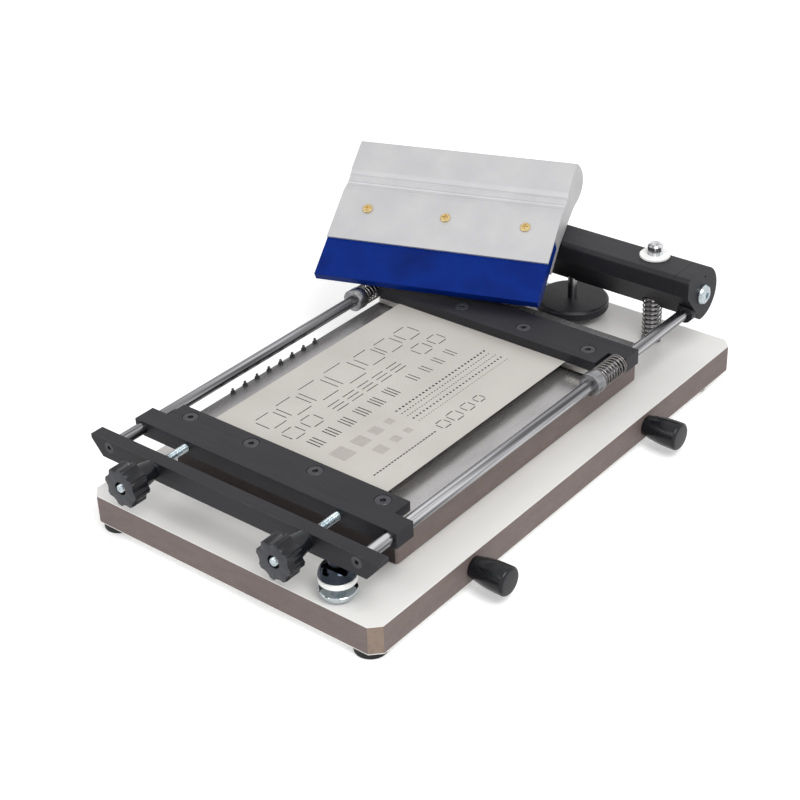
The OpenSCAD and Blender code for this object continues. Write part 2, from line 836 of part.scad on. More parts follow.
module pin_holes() {
    for (k = [0 : 7]) {
        translate([table_left + 3, 163 + k * pin_pitch, table_top - 10]) cylinder(h = 20, d = pin_d);
    }
}

module table_board() {
    color(board_brown) place() difference() {
        table_plate(deck + table_gap, table_top - table_sheet_t);
        pin_holes();
        for (y = handle_ys) {
            translate([nut_x - nut_w / 2, y - nut_d / 2, 0]) cube([nut_w, nut_d, deck + 8]);
        }
        for (x = [table_left + 40, table_right - 40]) {
            for (y = [table_front + 40, table_back - 40]) {
                translate([x, y, 0]) cylinder(h = deck + 2, d = 30);
            }
        }
    }
}

module table_sheet() {
    color(laminate_white) place() difference() {
        table_plate(table_top - table_sheet_t, table_top);
        pin_holes();
    }
}

module table_glides() {
    color(nylon) place() for (x = [table_left + 40, table_right - 40]) {
        for (y = [table_front + 40, table_back - 40]) {
            translate([x, y, deck + run_fit]) bevelled_disc(30, 2 - run_fit, 0.3);
        }
    }
}

module nut_blocks() {
    color("#c9a24a") place() for (y = handle_ys) {
        difference() {
            translate([nut_x - nut_w / 2, y - nut_d / 2, nut_low])
                cube([nut_w, nut_d, deck + 8 - nut_low]);
            translate([0, y, handle_h]) x_rod(spindle_d + 2 * run_fit, 0, base_w);
        }
    }
}

module register_pins() {
    color(steel) place() for (k = [0 : 7]) {
        translate([table_left + 3, 163 + k * pin_pitch, table_top]) {
            translate([0, 0, -10]) cylinder(h = 9 + pin_h, d = pin_d);
            translate([0, 0, pin_h - 1]) cylinder(h = 1, d1 = pin_d, d2 = pin_d - 1.6);
            cylinder(h = 2, d = 5.4);
        }
    }
}

// Handles and their spindles

module handle(y) {
    translate([base_w / 2 + body_gap, y, handle_h]) rotate([0, 90, 0]) difference() {
        rotate_extrude() polygon([
            [0, 0], [bush_d / 2, 0], [bush_d / 2 + 0.2, 6], [bush_d / 2 + 1.4, 14],
            [handle_d / 2 - 2.2, handle_l - 14], [handle_d / 2 - 0.3, handle_l - 6],
            [handle_d / 2, handle_l - 4], [handle_d / 2 - 0.3, handle_l - 2],
            [handle_d / 2 - 1.5, handle_l - body_gap], [0, handle_l - body_gap]
        ]);
        translate([0, 0, -1]) cylinder(h = 29, d = spindle_d);
    }
}

module front_handle() {
    color(rubber) place() handle(handle_ys[0]);
}

module rear_handle() {
    color(rubber) place() handle(handle_ys[1]);
}

module handle_spindle(y) {
    translate([0, y, handle_h]) {
        x_rod(spindle_d, nut_x - 40, base_w / 2 + body_gap + 28);
        x_rod(14, base_w / 2 - 22, base_w / 2 - 18 - body_gap);
    }
}

module front_spindle() {
    color(steel) place() handle_spindle(handle_ys[0]);
}

module rear_spindle() {
    color(steel) place() handle_spindle(handle_ys[1]);
}

// Squeegee, resting on the rear clamp bar and the beam

// Moves the squeegee's own axes, length along x and height along z, to its place.
module lean_back() {
    place() translate([sq_x, sq_y, sq_z]) rotate([0, 0, squeegee_yaw])
        rotate([-squeegee_lean, 0, 0]) children();
}

// Section of the holder: thickness to the right, height upwards, open below for the blade.
module holder_section() {
    difference() {
        polygon(concat(holder_back, holder_front));
        square([blade_t, blade_out + blade_hidden]);
        polygon([[blade_t - 1, 0], [40, 0], [blade_t + 7.7, blade_out + 3], [blade_t - 1, blade_out + 3]]);
    }
}

// Moves to each of the three screws, on the holder's front face.
module holder_screws() {
    for (k = [-1 : 1]) {
        translate([squeegee_l / 2 + k * 88.3, -2.6, blade_out + 41.5]) rotate([90, 0, 0]) children();
    }
}

module squeegee_holder() {
    color("#cfcfd2") lean_back() difference() {
        rotate([90, 0, 90]) linear_extrude(squeegee_l) holder_section();
        holder_screws() translate([0, 0, -12]) cylinder(h = 20, d = 4);
    }
}

// The blade's rear lower corner is ground off, flat on the springs and the clamp bar.
module squeegee_blade() {
    color("#123a9a") lean_back() rotate([90, 0, 90]) linear_extrude(squeegee_l) polygon([
        [0, 0], [blade_t - edge_bevel / sin(squeegee_lean), 0],
        [blade_t, edge_bevel / cos(squeegee_lean)], [blade_t, blade_out + blade_hidden],
        [0, blade_out + blade_hidden]
    ]);
}

module squeegee_screws() {
    color("#c9a24a") lean_back() holder_screws() difference() {
        union() {
            translate([0, 0, -12]) cylinder(h = 12, d = 4);
            bevelled_disc(11, 2.6, 1);
        }
        for (a = [0, 90]) {
            rotate(a) translate([-3.2, -0.6, 1.3]) cube([6.4, 1.2, 2]);
        }
    }
}

echo(post_spring_gap = tube_gap(coil_path(post_curls, (post_spring_d - post_wire) / 2, post_wire,
    bush_low - deck), post_wire));
echo(rod_spring_gap = tube_gap(coil_path(rod_curls, (rod_d + 10 - rod_wire) / 2, rod_wire,
    rear_spine_front - spring_front), rod_wire));

base_core();
base_laminates();
rubber_feet();
foot_screws();
guide_posts();
post_screws();
post_springs();
thrust_bush();
rest_disc();
handle_bushes();
height_disc();
height_spindle();
spindle_ring();
rear_beam();
post_bushes();
pivot_bolts();
left_end_block();
right_end_block();
left_rod();
right_rod();
rod_lock_screws();
front_bar();
rod_end_screws();
rod_collars();
collar_screws();
rod_springs();
foot_cup();
foot_ring();
foot_stud();
left_star_knob();
right_star_knob();
left_knob_washer();
right_knob_washer();
front_clamp_bar();
rear_clamp_bar();
front_jaw();
rear_jaw();
clamp_screws();
stencil_foil();
tension_studs();
table_board();
table_sheet();
table_glides();
nut_blocks();
register_pins();
front_handle();
rear_handle();
front_spindle();
rear_spindle();
squeegee_holder();
squeegee_blade();
squeegee_screws();
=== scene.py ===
import json
import math

import bmesh
import bpy
from mathutils import Matrix, Vector

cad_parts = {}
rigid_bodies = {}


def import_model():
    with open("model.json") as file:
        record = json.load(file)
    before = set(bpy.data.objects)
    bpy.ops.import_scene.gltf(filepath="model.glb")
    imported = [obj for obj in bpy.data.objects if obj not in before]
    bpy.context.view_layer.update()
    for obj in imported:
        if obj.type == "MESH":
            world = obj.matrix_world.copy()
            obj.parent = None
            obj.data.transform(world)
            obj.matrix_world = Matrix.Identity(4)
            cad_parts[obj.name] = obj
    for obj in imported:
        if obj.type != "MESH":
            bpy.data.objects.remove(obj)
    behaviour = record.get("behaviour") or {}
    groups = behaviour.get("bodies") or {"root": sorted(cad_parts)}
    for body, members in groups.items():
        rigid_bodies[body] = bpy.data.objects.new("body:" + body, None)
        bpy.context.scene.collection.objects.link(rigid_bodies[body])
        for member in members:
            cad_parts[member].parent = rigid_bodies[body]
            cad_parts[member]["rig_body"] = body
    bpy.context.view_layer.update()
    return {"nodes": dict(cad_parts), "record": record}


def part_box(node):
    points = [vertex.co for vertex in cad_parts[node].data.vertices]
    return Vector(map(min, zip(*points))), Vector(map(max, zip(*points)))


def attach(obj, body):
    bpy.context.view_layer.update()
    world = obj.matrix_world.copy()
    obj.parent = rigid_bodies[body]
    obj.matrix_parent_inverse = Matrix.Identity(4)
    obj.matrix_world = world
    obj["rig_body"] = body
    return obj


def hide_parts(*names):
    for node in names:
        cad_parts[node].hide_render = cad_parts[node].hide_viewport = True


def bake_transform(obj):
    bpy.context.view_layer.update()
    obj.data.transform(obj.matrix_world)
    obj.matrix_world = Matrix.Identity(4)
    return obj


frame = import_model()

nodes = frame["nodes"]
slotOf = {part["node"]: part["material_slot"] for part in frame["record"]["subparts"]}

# The machine's own zero is the middle of the base board's front edge, on the floor. Sizes and places in
# the dictionaries below are in mm on the machine, apart from the studio's, which are in metres.
boardLow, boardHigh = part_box("base_core")
machineZero = Vector(((boardLow.x + boardHigh.x) / 2, boardLow.y, 0))
right = Vector((1, 0, 0))
rearwards = Vector((0, 1, 0))
upright = Vector((0, 0, 1))


def spot(x, y, z):
    # millimetres on the machine to metres in the frame
    return machineZero + Vector((x, y, z)) / 1000


def extentOf(nodeName, axis):
    # where a node starts and ends along an axis, in millimetres on the machine
    low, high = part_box(nodeName)
    return (low[axis] - machineZero[axis]) * 1000, (high[axis] - machineZero[axis]) * 1000


print("stage: frame loaded,", len(nodes), "nodes")


def linearColour(hexText):
    channels = [int(hexText[i : i + 2], 16) / 255 for i in (1, 3, 5)]
    linear = [c / 12.92 if c <= 0.04045 else ((c + 0.055) / 1.055) ** 2.4 for c in channels]
    return (*linear, 1)


def addNode(tree, kind, values=None, links=None, **settings):
    node = tree.nodes.new(kind)
    for name, value in settings.items():
        setattr(node, name, value)
    for name, value in (values or {}).items():
        node.inputs[name].default_value = value
    for name, source in (links or {}).items():
        tree.links.new(source, node.inputs[name])
    return node


# One dictionary for each finish. tint and grain are noises: the size of a blotch in real mm, how many
# times longer it is along x, y and z, the noise's detail and its roughness. tones are the stops that
# the tint runs through, gloss is the lowest and the highest roughness, and relief is the grain's depth
# in mm with the share of it that shows. The lines of drawn, rolled, belt-polished and turned metal are
# a tenth of a millimetre or finer on the real parts, and are drawn at 0.6 to 1.2 mm so that they show.
even = (1, 1, 1)
finishes = {
    # Brown phenolic chipboard, sanded: resin layers along the board with paler chips.
    "board_core": {
        "name": "brownPhenolicBoardSanded",
        "tint": (7, (3, 3, 1), 4, 0.6),
        "grain": (1.6, (2.5, 2.5, 1), 4, 0.7),
        "tones": [(0.3, "#6d605c"), (0.52, "#726561"), (0.74, "#776a66")],
        "gloss": (0.5, 0.72),
        "relief": (0.1, 0.4),
        "shader": {"IOR": 1.5},
    },
    # The same board with painted shade on the table's front edge: a much darker brown for the shade that
    # the clamp bars cast there.
    "board_front_painted_shade": {
        "name": "brownPhenolicBoardFrontPaintedShade",
        "tint": (3.4, (5, 5, 1), 5, 0.62),
        "grain": (1.6, (2.5, 2.5, 1), 4, 0.7),
        "tones": [(0.3, "#2b2423"), (0.52, "#332b29"), (0.74, "#3c3331")],
        "gloss": (0.5, 0.7),
        "relief": (0.1, 0.4),
        "shader": {"IOR": 1.4},
    },
    # The board's cut corners, a paler brown than its other faces.
    "board_corner": {
        "name": "brownPhenolicBoardPaleCorner",
        "tint": (4.5, (1, 1, 2.2), 4, 0.6),
        "grain": (1.4, even, 4, 0.7),
        "tones": [(0.34, "#7b6a60"), (0.52, "#8d7a6c"), (0.7, "#85766e")],
        "gloss": (0.45, 0.65),
        "relief": (0.12, 0.4),
        "shader": {"IOR": 1.5},
    },
    # High-pressure laminate: off-white with a satin sheen. Its orange peel is drawn at 2 mm,
    # coarser than the real half millimetre, so that it shows.
    "white_laminate": {
        "name": "whitePressedLaminate",
        "tint": (130, even, 3, 0.5),
        "grain": (2.0, even, 2, 0.5),
        "tones": [(0.3, "#eeedeb"), (0.7, "#e6e5e2")],
        "gloss": (0.3, 0.4),
        "relief": (0.015, 0.3),
        "shader": {"IOR": 1.45},
    },
    # Extruded aluminium, black anodised: charcoal, dull, with fine lines along the extrusion.
    "black_anodised": {
        "name": "blackAnodisedAluminium",
        "tint": (50, even, 3, 0.5),
        "grain": (0.9, (60, 1, 1), 3, 0.5),
        "tones": [(0.3, "#17171c"), (0.7, "#1d1d22")],
        "gloss": (0.42, 0.54),
        "relief": (0.012, 0.2),
        "shader": {"IOR": 1.4},
    },
    # The same dye, lighter on the edges: rubbed thin there in part, and in part a painted highlight along
    # them.
    "worn_anodised_and_highlight": {
        "name": "blackAnodisedRubbedEdgeAndHighlight",
        "tint": (7, even, 5, 0.6),
        "grain": (0.8, even, 3, 0.5),
        "tones": [(0.44, "#2b2b2f"), (0.68, "#55555a")],
        "gloss": (0.36, 0.5),
        "relief": (0.01, 0.2),
        "shader": {"Metallic": 0.25},
    },
    # Moulded rubber, dull black.
    "rubber": {
        "name": "blackRubberMoulded",
        "tint": (14, even, 3, 0.5),
        "grain": (0.7, even, 2, 0.5),
        "tones": [(0.3, "#1b1b1c"), (0.7, "#232324")],
        "gloss": (0.65, 0.8),
        "relief": (0.05, 0.4),
        "shader": {"IOR": 1.45},
    },
    # Turned nylon: white, a little clear at the surface, with its tool marks.
    "nylon": {
        "name": "whiteNylonTurned",
        "tint": (14, even, 3, 0.5),
        "grain": (0.6, (6, 6, 1), 2, 0.5),
        "tones": [(0.3, "#fafbf9"), (0.7, "#f2f3f1")],
        "gloss": (0.34, 0.46),
        "relief": (0.03, 0.4),
        "shader": {"IOR": 1.5, "Subsurface Weight": 0.1, "Subsurface Radius": (0.003, 0.003, 0.003)},
    },
    # Thermoset knobs and handles: black with a gloss that handling has softened in places.
    "black_plastic": {
        "name": "blackThermosetGlossy",
        "tint": (12, even, 3, 0.5),
        "grain": (3.5, even, 3, 0.5),
        "tones": [(0.3, "#101116"), (0.7, "#17181c")],
        "gloss": (0.2, 0.3),
        "relief": (0.008, 0.2),
        "shader": {"IOR": 1.4},
    },
    # The knobs' front faces: a little rougher than the sides, and lighter grey as a painted reflection of
    # the bright floor that they face.
    "knob_face": {
        "name": "blackThermosetFacePaintedReflection",
        "tint": (9, even, 4, 0.6),
        "grain": (1.5, even, 3, 0.5),
        "tones": [(0.3, "#303136"), (0.7, "#3a3b41")],
        "gloss": (0.36, 0.48),
        "relief": (0.01, 0.2),
        "shader": {"IOR": 1.45},
    },
    # Drawn bright steel bar along y: fine drawn lines along its length, and broad bands from dark to bright
    # along it that are painted reflections.
    "ground_steel": {
        "name": "steelDrawnPaintedReflectionBands",
        "tint": (3.0, (1, 90, 1), 2, 0.5),
        "grain": (0.7, (1, 60, 1), 2, 0.5),
        "tones": [(0.36, "#545457"), (0.5, "#8f8f92"), (0.64, "#d2d2d5")],
        "gloss": (0.2, 0.3),
        "relief": (0.012, 0.2),
        "shader": {"Metallic": 1.0},
    },
    # The same steel for the upright posts and the height spindle, its painted reflection bands running
    # upright.
    "upright_steel_painted_bands": {
        "name": "steelDrawnUprightPaintedReflectionBands",
        "tint": (4.0, (1, 1, 90), 2, 0.5),
        "grain": (0.7, (1, 1, 60), 2, 0.5),
        "tones": [(0.36, "#6d6d71"), (0.5, "#aeaeb2"), (0.64, "#e6e6e9")],
        "gloss": (0.16, 0.26),
        "relief": (0.012, 0.2),
        "shader": {"Metallic": 1.0},
    },
    # Bright zinc plate: a little blue, cloudy.
    "zinc_steel": {
        "name": "steelZincPlated",
        "tint": (4, even, 4, 0.6),
        "grain": (1.2, even, 3, 0.5),
        "tones": [(0.34, "#aebac0"), (0.66, "#dbe4e8")],
        "gloss": (0.2, 0.32),
        "relief": (0.01, 0.2),
        "shader": {"Metallic": 1.0},
    },
    # Turned collars, zinc plated and grey from handling.
    "collar_steel": {
        "name": "steelCollarTurned",
        "tint": (5, (1, 3, 1), 4, 0.6),
        "grain": (0.6, (8, 1, 8), 2, 0.5),
        "tones": [(0.34, "#808083"), (0.68, "#a3a3a6")],
        "gloss": (0.26, 0.36),
        "relief": (0.02, 0.3),
        "shader": {"Metallic": 1.0},
    },
    # Spring wire, drawn: mid grey with a soft shine.
    "spring_steel": {
        "name": "springWireDrawn",
        "tint": (6, even, 4, 0.6),
        "grain": (0.6, even, 3, 0.5),
        "tones": [(0.32, "#6f6c6b"), (0.72, "#8d8a88")],
        "gloss": (0.22, 0.36),
        "relief": (0.01, 0.3),
        "shader": {"Metallic": 1.0},
    },
    # Chrome on turned steel, polished, with faint turning rings.
    "chromed_steel": {
        "name": "steelChromedPolished",
        "tint": (9, even, 3, 0.5),
        "grain": (1.2, (9, 9, 1), 2, 0.5),
        "tones": [(0.32, "#b6bfc3"), (0.72, "#cfd6da")],
        "gloss": (0.06, 0.12),
        "relief": (0.006, 0.2),
        "shader": {"Metallic": 1.0},
    },
    # Chrome with the dark front bar's reflection painted into its colour, polished like a lens.
    "chrome_painted_dark_reflection": {
        "name": "steelChromedPaintedDarkReflection",
        "tint": (9, even, 3, 0.5),
        "grain": (1.2, (9, 9, 1), 2, 0.5),
        "tones": [(0.32, "#2a2e36"), (0.72, "#3d434d")],
        "gloss": (0.06, 0.12),
        "relief": (0.006, 0.2),
        "shader": {"Metallic": 1.0},
    },
    # Black oxide on alloy steel screws.
    "black_screw": {
        "name": "steelBlackOxide",
        "tint": (5, even, 4, 0.6),
        "grain": (0.8, even, 3, 0.5),
        "tones": [(0.32, "#3a3a3e"), (0.72, "#4a4a4f")],
        "gloss": (0.32, 0.46),
        "relief": (0.02, 0.3),
        "shader": {"Metallic": 0.5},
    },
    # Milled aluminium, bare.
    "bare_aluminium": {
        "name": "aluminiumMilled",
        "tint": (20, even, 3, 0.5),
        "grain": (0.9, (30, 1, 1), 3, 0.5),
        "tones": [(0.32, "#a9a7a3"), (0.72, "#bdbbb6")],
        "gloss": (0.3, 0.44),
        "relief": (0.02, 0.3),
        "shader": {"Metallic": 1.0},
    },
    # Turned brass screws, pale with handling.
    "brass": {
        "name": "brassTurned",
        "tint": (4, even, 4, 0.6),
        "grain": (0.6, even, 3, 0.5),
        "tones": [(0.32, "#cfb277"), (0.72, "#e2cd99")],
        "gloss": (0.2, 0.32),
        "relief": (0.01, 0.3),
        "shader": {"Metallic": 1.0},
    },
    # Rolled stainless foil, brushed dull: warm grey with very fine lines along the roll.
    "stainless_foil": {
        "name": "stainlessFoilDullRolled",
        "tint": (80, even, 3, 0.5),
        "grain": (0.8, (1, 50, 1), 3, 0.5),
        "tones": [(0.3, "#c7c3bd"), (0.7, "#bdb9b3")],
        "gloss": (0.46, 0.58),
        "relief": (0.01, 0.15),
        "shader": {"Metallic": 0.2},
    },
    # Patches of the foil that are etched half through, matt and a shade darker.
    "etched_foil": {
        "name": "stainlessFoilEtched",
        "tint": (1.4, even, 3, 0.6),
        "grain": (0.9, even, 3, 0.6),
        "tones": [(0.36, "#a8a29d"), (0.66, "#b7b1ac")],
        "gloss": (0.6, 0.75),
        "relief": (0.03, 0.4),
        "shader": {"Metallic": 0.1},
    },
    # Stainless sheet on the table, polished with a belt along y and dulled by use.
    "table_sheet": {
        "name": "stainlessSheetBeltPolished",
        "tint": (38, (1, 3, 1), 4, 0.55),
        "grain": (0.9, (1, 40, 1), 3, 0.5),
        "tones": [(0.3, "#a19f9f"), (0.7, "#bfbdbd")],
        "gloss": (0.24, 0.36),
        "relief": (0.01, 0.15),
        "shader": {"Metallic": 0.85},
    },
    # Extruded aluminium, clear anodised: pale satin grey, drawn lines along the length.
    "clear_anodised": {
        "name": "aluminiumClearAnodised",
        "tint": (38, even, 4, 0.5),
        "grain": (0.7, (70, 25, 1), 3, 0.5),
        "tones": [(0.28, "#c8c8c9"), (0.72, "#bdbdbf")],
        "gloss": (0.4, 0.52),
        "relief": (0.01, 0.15),
        "shader": {"Metallic": 0.4},
    },
    # Cast polyurethane, blue: deep colour and a soft gloss.
    "blue_polyurethane": {
        "name": "bluePolyurethaneCast",
        "tint": (60, even, 3, 0.5),
        "grain": (3, (6, 6, 1), 4, 0.5),
        "tones": [(0.3, "#011f6c"), (0.5, "#012678"), (0.72, "#011b60")],
        "gloss": (0.36, 0.48),
        "relief": (0.02, 0.2),
        "shader": {
            "IOR": 1.33, "Specular IOR Level": 0.2,
            "Subsurface Weight": 0.04, "Subsurface Radius": (0.002, 0.004, 0.01),
        },
    },
}


noiseRange = (0.3, 0.7)  # where nearly all of a noise's values lie


def makeFinish(settings):
    material = bpy.data.materials.new(settings["name"])
    material.use_nodes = True
    tree = material.node_tree
    tree.nodes.clear()
    place = addNode(tree, "ShaderNodeTexCoord").outputs["Object"]
    noises = []
    for sizeMm, stretch, detail, harshness in (settings["tint"], settings["grain"]):
        shares = {"Scale": tuple(1 / s for s in stretch)}
        stretched = addNode(tree, "ShaderNodeMapping", shares, {"Vector": place})
        values = {"Scale": 1000 / sizeMm, "Detail": detail, "Roughness": harshness}
        noise = addNode(tree, "ShaderNodeTexNoise", values, {"Vector": stretched.outputs[0]})
        noises.append(noise.outputs["Fac"])
    tintNoise, grainNoise = noises

    ramp = addNode(tree, "ShaderNodeValToRGB", links={"Fac": tintNoise})
    band = ramp.color_ramp
    while len(band.elements) < len(settings["tones"]):
        band.elements.new(0.5)
    for element, (position, hexText) in zip(band.elements, settings["tones"]):
        element.position = position
        element.color = linearColour(hexText)

    low, high = settings["gloss"]
    reach = {"From Min": noiseRange[0], "From Max": noiseRange[1], "To Min": low, "To Max": high}
    gloss = addNode(tree, "ShaderNodeMapRange", reach, {"Value": grainNoise})
    depthMm, share = settings["relief"]
    depth = {"Strength": share, "Distance": depthMm / 1000}
    bump = addNode(tree, "ShaderNodeBump", depth, {"Height": grainNoise})
    looks = {
        "Base Color": ramp.outputs["Color"],
        "Roughness": gloss.outputs[0],
        "Normal": bump.outputs["Normal"],
    }
    surface = addNode(tree, "ShaderNodeBsdfPrincipled", settings["shader"], looks)
    addNode(tree, "ShaderNodeOutputMaterial", links={"Surface": surface.outputs["BSDF"]})
    return material


materials = {slot: makeFinish(settings) for slot, settings in finishes.items()}
print("stage: materials made,", len(materials))


# A node's finish is its slot in the record, apart from these.
finishFor = {
    "guide_posts": "upright_steel_painted_bands",
    "height_spindle": "upright_steel_painted_bands",
    "table_sheet": "table_sheet",
    "rod_collars": "collar_steel",
    "register_pins": "black_screw",
}


def finishOf(nodeName):
    return materials[finishFor.get(nodeName, slotOf[nodeName])]


for nodeName, part in nodes.items():
    part.data.materials.clear()
    part.data.materials.append(finishOf(nodeName))


def newPiece(name, shape, finish):
    mesh = bpy.data.meshes.new(name)
    shape.to_mesh(mesh)
    shape.free()
    piece = bpy.data.objects.new(name, mesh)
    bpy.context.scene.collection.objects.link(piece)
    mesh.materials.append(finish)
    return piece


def smoothUnder(piece, degrees):
    for polygon in piece.data.polygons:
        polygon.use_smooth = True
    bpy.context.view_layer.objects.active = piece
    piece.select_set(True)
    bpy.ops.object.shade_smooth_by_angle(angle=math.radians(degrees))
    piece.select_set(False)


def applyModifiers(piece):
    graph = bpy.context.evaluated_depsgraph_get()
    finished = bpy.data.meshes.new_from_object(piece.evaluated_get(graph))
    piece.modifiers.clear()
    old = piece.data
    piece.data = finished
    bpy.data.meshes.remove(old)


def paintFaces(piece, finish, isPainted):
    # gives a second finish to the faces whose normal passes the test
    piece.data.materials.append(materials[finish])
    for polygon in piece.data.polygons:
        if isPainted(polygon.normal):
            polygon.material_index = 1


def standFor(piece, nodeName, body=None):
    # a piece that is blended between two bodies gets none here
    if body:
        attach(piece, body)
    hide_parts(nodeName)


def joinRings(shape, rings, bored=False):
    # a skin over a row of rings with flat ends; bored joins the last ring to the first instead
    around = len(rings[0])
    pairs = list(zip(rings, rings[1:]))
    if bored:
        pairs.append((rings[-1], rings[0]))
    for before, after in pairs:
        for i in range(around):
            j = (i + 1) % around
            shape.faces.new((before[i], before[j], after[j], after[i]))
    if not bored:
        shape.faces.new(rings[0][::-1])
        shape.faces.new(rings[-1])


def turn(shape, centre, axis, across, profile, outline=None, around=96, bored=False):
    # turns a profile, a row of (radius, height) in mm, about the axis; a third value marks a ring
    # that follows the outline, which gives its radius in each direction before the profile's is added
    other = axis.cross(across)
    rings = []
    for radius, height, *outlined in profile:
        ring = []
        for i in range(around):
            angle = math.tau * i / around
            reach = radius + (outline(angle) if outlined else 0)
            direction = math.cos(angle) * across + math.sin(angle) * other
            ring.append(shape.verts.new(centre + (axis * height + direction * reach) / 1000))
        rings.append(ring)
    joinRings(shape, rings, bored)


def arc(fromPoint, toPoint, bulge, steps=12):
    # points from one (radius, height) to the next, pushed outwards by the bulge in mm
    (r0, h0), (r1, h1) = fromPoint, toPoint
    length = math.hypot(r1 - r0, h1 - h0)
    outwards = ((h1 - h0) / length, -(r1 - r0) / length)
    points = []
    for k in range(steps + 1):
        share = k / steps
        push = bulge * math.sin(math.pi * share)
        radius = r0 + (r1 - r0) * share + outwards[0] * push
        height = h0 + (h1 - h0) * share + outwards[1] * push
        points.append((radius, height))
    return points


edgeMiddle = 0.3  # how far in the middle point of a small rounded edge lies, as a share of the edge


def chamfered(bore, radius, length, edge):
    # a bored ring whose two outer edges are rounded in two small steps
    near = edge * edgeMiddle
    return [
        (bore, 0), (radius - edge, 0), (radius - near, near), (radius, edge),
        (radius, length - edge), (radius - near, length - near), (radius - edge, length), (bore, length),
    ]


def rounding(middle, radius, start, end, steps):
    # points of (radius, height) on a circle, from one angle to the other in degrees
    angles = [math.radians(start + (end - start) * k / steps) for k in range(steps + 1)]
    return [(middle[0] + radius * math.cos(a), middle[1] + radius * math.sin(a)) for a in angles]


def addPiece(name, shape, finish, nodeName, body, smooth):
    bmesh.ops.recalc_face_normals(shape, faces=shape.faces)
    piece = newPiece(name, shape, finish)
    smoothUnder(piece, smooth)
    standFor(piece, nodeName, body)
    return piece


# The square-edged parts get a small broken edge, in mm, as the real ones have.
brokenEdges = {
    "front_bar": 0.6,
    "front_clamp_bar": 0.6,
    "rear_clamp_bar": 0.6,
    "rear_beam": 0.7,
    "left_end_block": 0.7,
    "right_end_block": 0.7,
    "front_jaw": 0.3,
    "rear_jaw": 0.3,
    "base_laminates": 0.25,
    "base_core": 0.25,
    "table_board": 0.6,
    "table_sheet": 0.2,
    "squeegee_holder": 0.5,
    "squeegee_blade": 0.5,
    "height_disc": 0.5,
}
# On these black parts the edges are lighter: partly rubbed bright, partly a painted highlight.
wornAndHighlitNodes = (
    "front_bar", "front_clamp_bar", "rear_clamp_bar", "rear_beam",
    "left_end_block", "right_end_block", "height_disc",
)
# Faces that differ from the rest of their part: the finish, and the test of a face's normal.
facePatches = {
    # the table board's front face gets the painted shade finish
    "table_board": ("board_front_painted_shade", lambda normal: normal.y < -0.9),
    "base_core": ("board_corner", lambda normal: abs(normal.x) > 0.4 and abs(normal.y) > 0.4),
}
edgeSettings = {
    "weld": 2e-6,  # metres between corners that are one and the same
    "flat": 0.6,  # degrees up to which neighbouring faces are one flat face
    "corner": 32,  # degrees from which an edge is broken
    "shade": 34,  # degrees from which an edge is shaded sharp
}

# Countersunk clamp screws: the heads lie level with the bars' tops, in seats a little wider than they are.
clampScrews = {
    "xs": (-116.6, -38.9, 38.9, 116.6),
    "rows": {"front_clamp_bar": 85.0, "rear_clamp_bar": 406.9},
    "head": 15.0,
    "gap": 0.5,  # between a head and its seat
    "seat": 1.2,  # depth of the seat, and of the head's straight side
    "cone": 2.2,  # depth of the cone under it
    "socket": 5.6,
    "socketDeep": 3.0,
    "edge": 0.3,
    "chamfer": 0.4,
    "middle": 0.3,  # radius of the innermost ring
    "cutter": 4.0,  # height of the tool that cuts the seat
}
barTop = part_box("front_clamp_bar")[1].z


def cutSeats(piece, y):
    shape = bmesh.new()
    radius = (clampScrews["head"] / 2 + clampScrews["gap"]) / 1000
    cutterHigh = clampScrews["cutter"] / 1000
    middle = barTop + cutterHigh / 2 - clampScrews["seat"] / 1000
    for x in clampScrews["xs"]:
        ends = bmesh.ops.create_cone(
            shape, cap_ends=True, segments=48, radius1=radius, radius2=radius, depth=cutterHigh)
        centre = spot(x, y, 0)
        bmesh.ops.translate(shape, verts=ends["verts"], vec=(centre.x, centre.y, middle))
    cutter = newPiece("seatCutter", shape, finishOf("clamp_screws"))
    seats = piece.modifiers.new("screwSeats", "BOOLEAN")
    seats.object = cutter
    seats.operation = "DIFFERENCE"
    seats.solver = "EXACT"
    applyModifiers(piece)
    bpy.data.objects.remove(cutter)


def breakEdges(nodeName, widthMm):
    source = nodes[nodeName]
    shape = bmesh.new()
    shape.from_mesh(source.data)
    bmesh.ops.remove_doubles(shape, verts=shape.verts, dist=edgeSettings["weld"])
    flat = math.radians(edgeSettings["flat"])
    bmesh.ops.dissolve_limit(shape, angle_limit=flat, verts=shape.verts, edges=shape.edges)
    piece = newPiece(nodeName + ".edged", shape, finishOf(nodeName))
    if nodeName in clampScrews["rows"]:
        cutSeats(piece, clampScrews["rows"][nodeName])

    edge = piece.modifiers.new("brokenEdge", "BEVEL")
    edge.width = widthMm / 1000
    edge.segments = 2
    edge.limit_method = "ANGLE"
    edge.angle_limit = math.radians(edgeSettings["corner"])
    if nodeName in wornAndHighlitNodes:
        # the broken edges get the lighter finish, part wear and part painted highlight
        piece.data.materials.append(materials["worn_anodised_and_highlight"])
        edge.material = 1
    applyModifiers(piece)
    if nodeName in facePatches:
        paintFaces(piece, *facePatches[nodeName])

    smoothUnder(piece, edgeSettings["shade"])
    # the wide flat faces keep their own normals, so that only the broken edges are shaded round
    weighted = piece.modifiers.new("flatFaces", "WEIGHTED_NORMAL")
    weighted.keep_sharp = True
    applyModifiers(piece)
    standFor(piece, nodeName, source["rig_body"])


for nodeName, widthMm in brokenEdges.items():
    breakEdges(nodeName, widthMm)
print("stage: broken edges on", len(brokenEdges), "parts")


# Star knobs: eight narrow lobes with hollow flutes between them, and a bore for the stud's end.
knob = {
    "lobes": 8,
    "radius": 20.0,
    "flute": 17.3,  # from the axis to the bottom of a flute
    "fluteRadius": 9.0,
    "deep": 18.0,  # length of the fluted part
    "neck": (13.0, 9.5),  # radii where the neck leaves the flutes and where it ends
    "bore": 4.1,
    "recess": 6.3,
    "recessDeep": 4.0,
    "lip": 0.4,
    "edge": 0.7,
    "turned": 12,  # degrees
    "soft": 0.5,  # how round the lobes' corners are
}


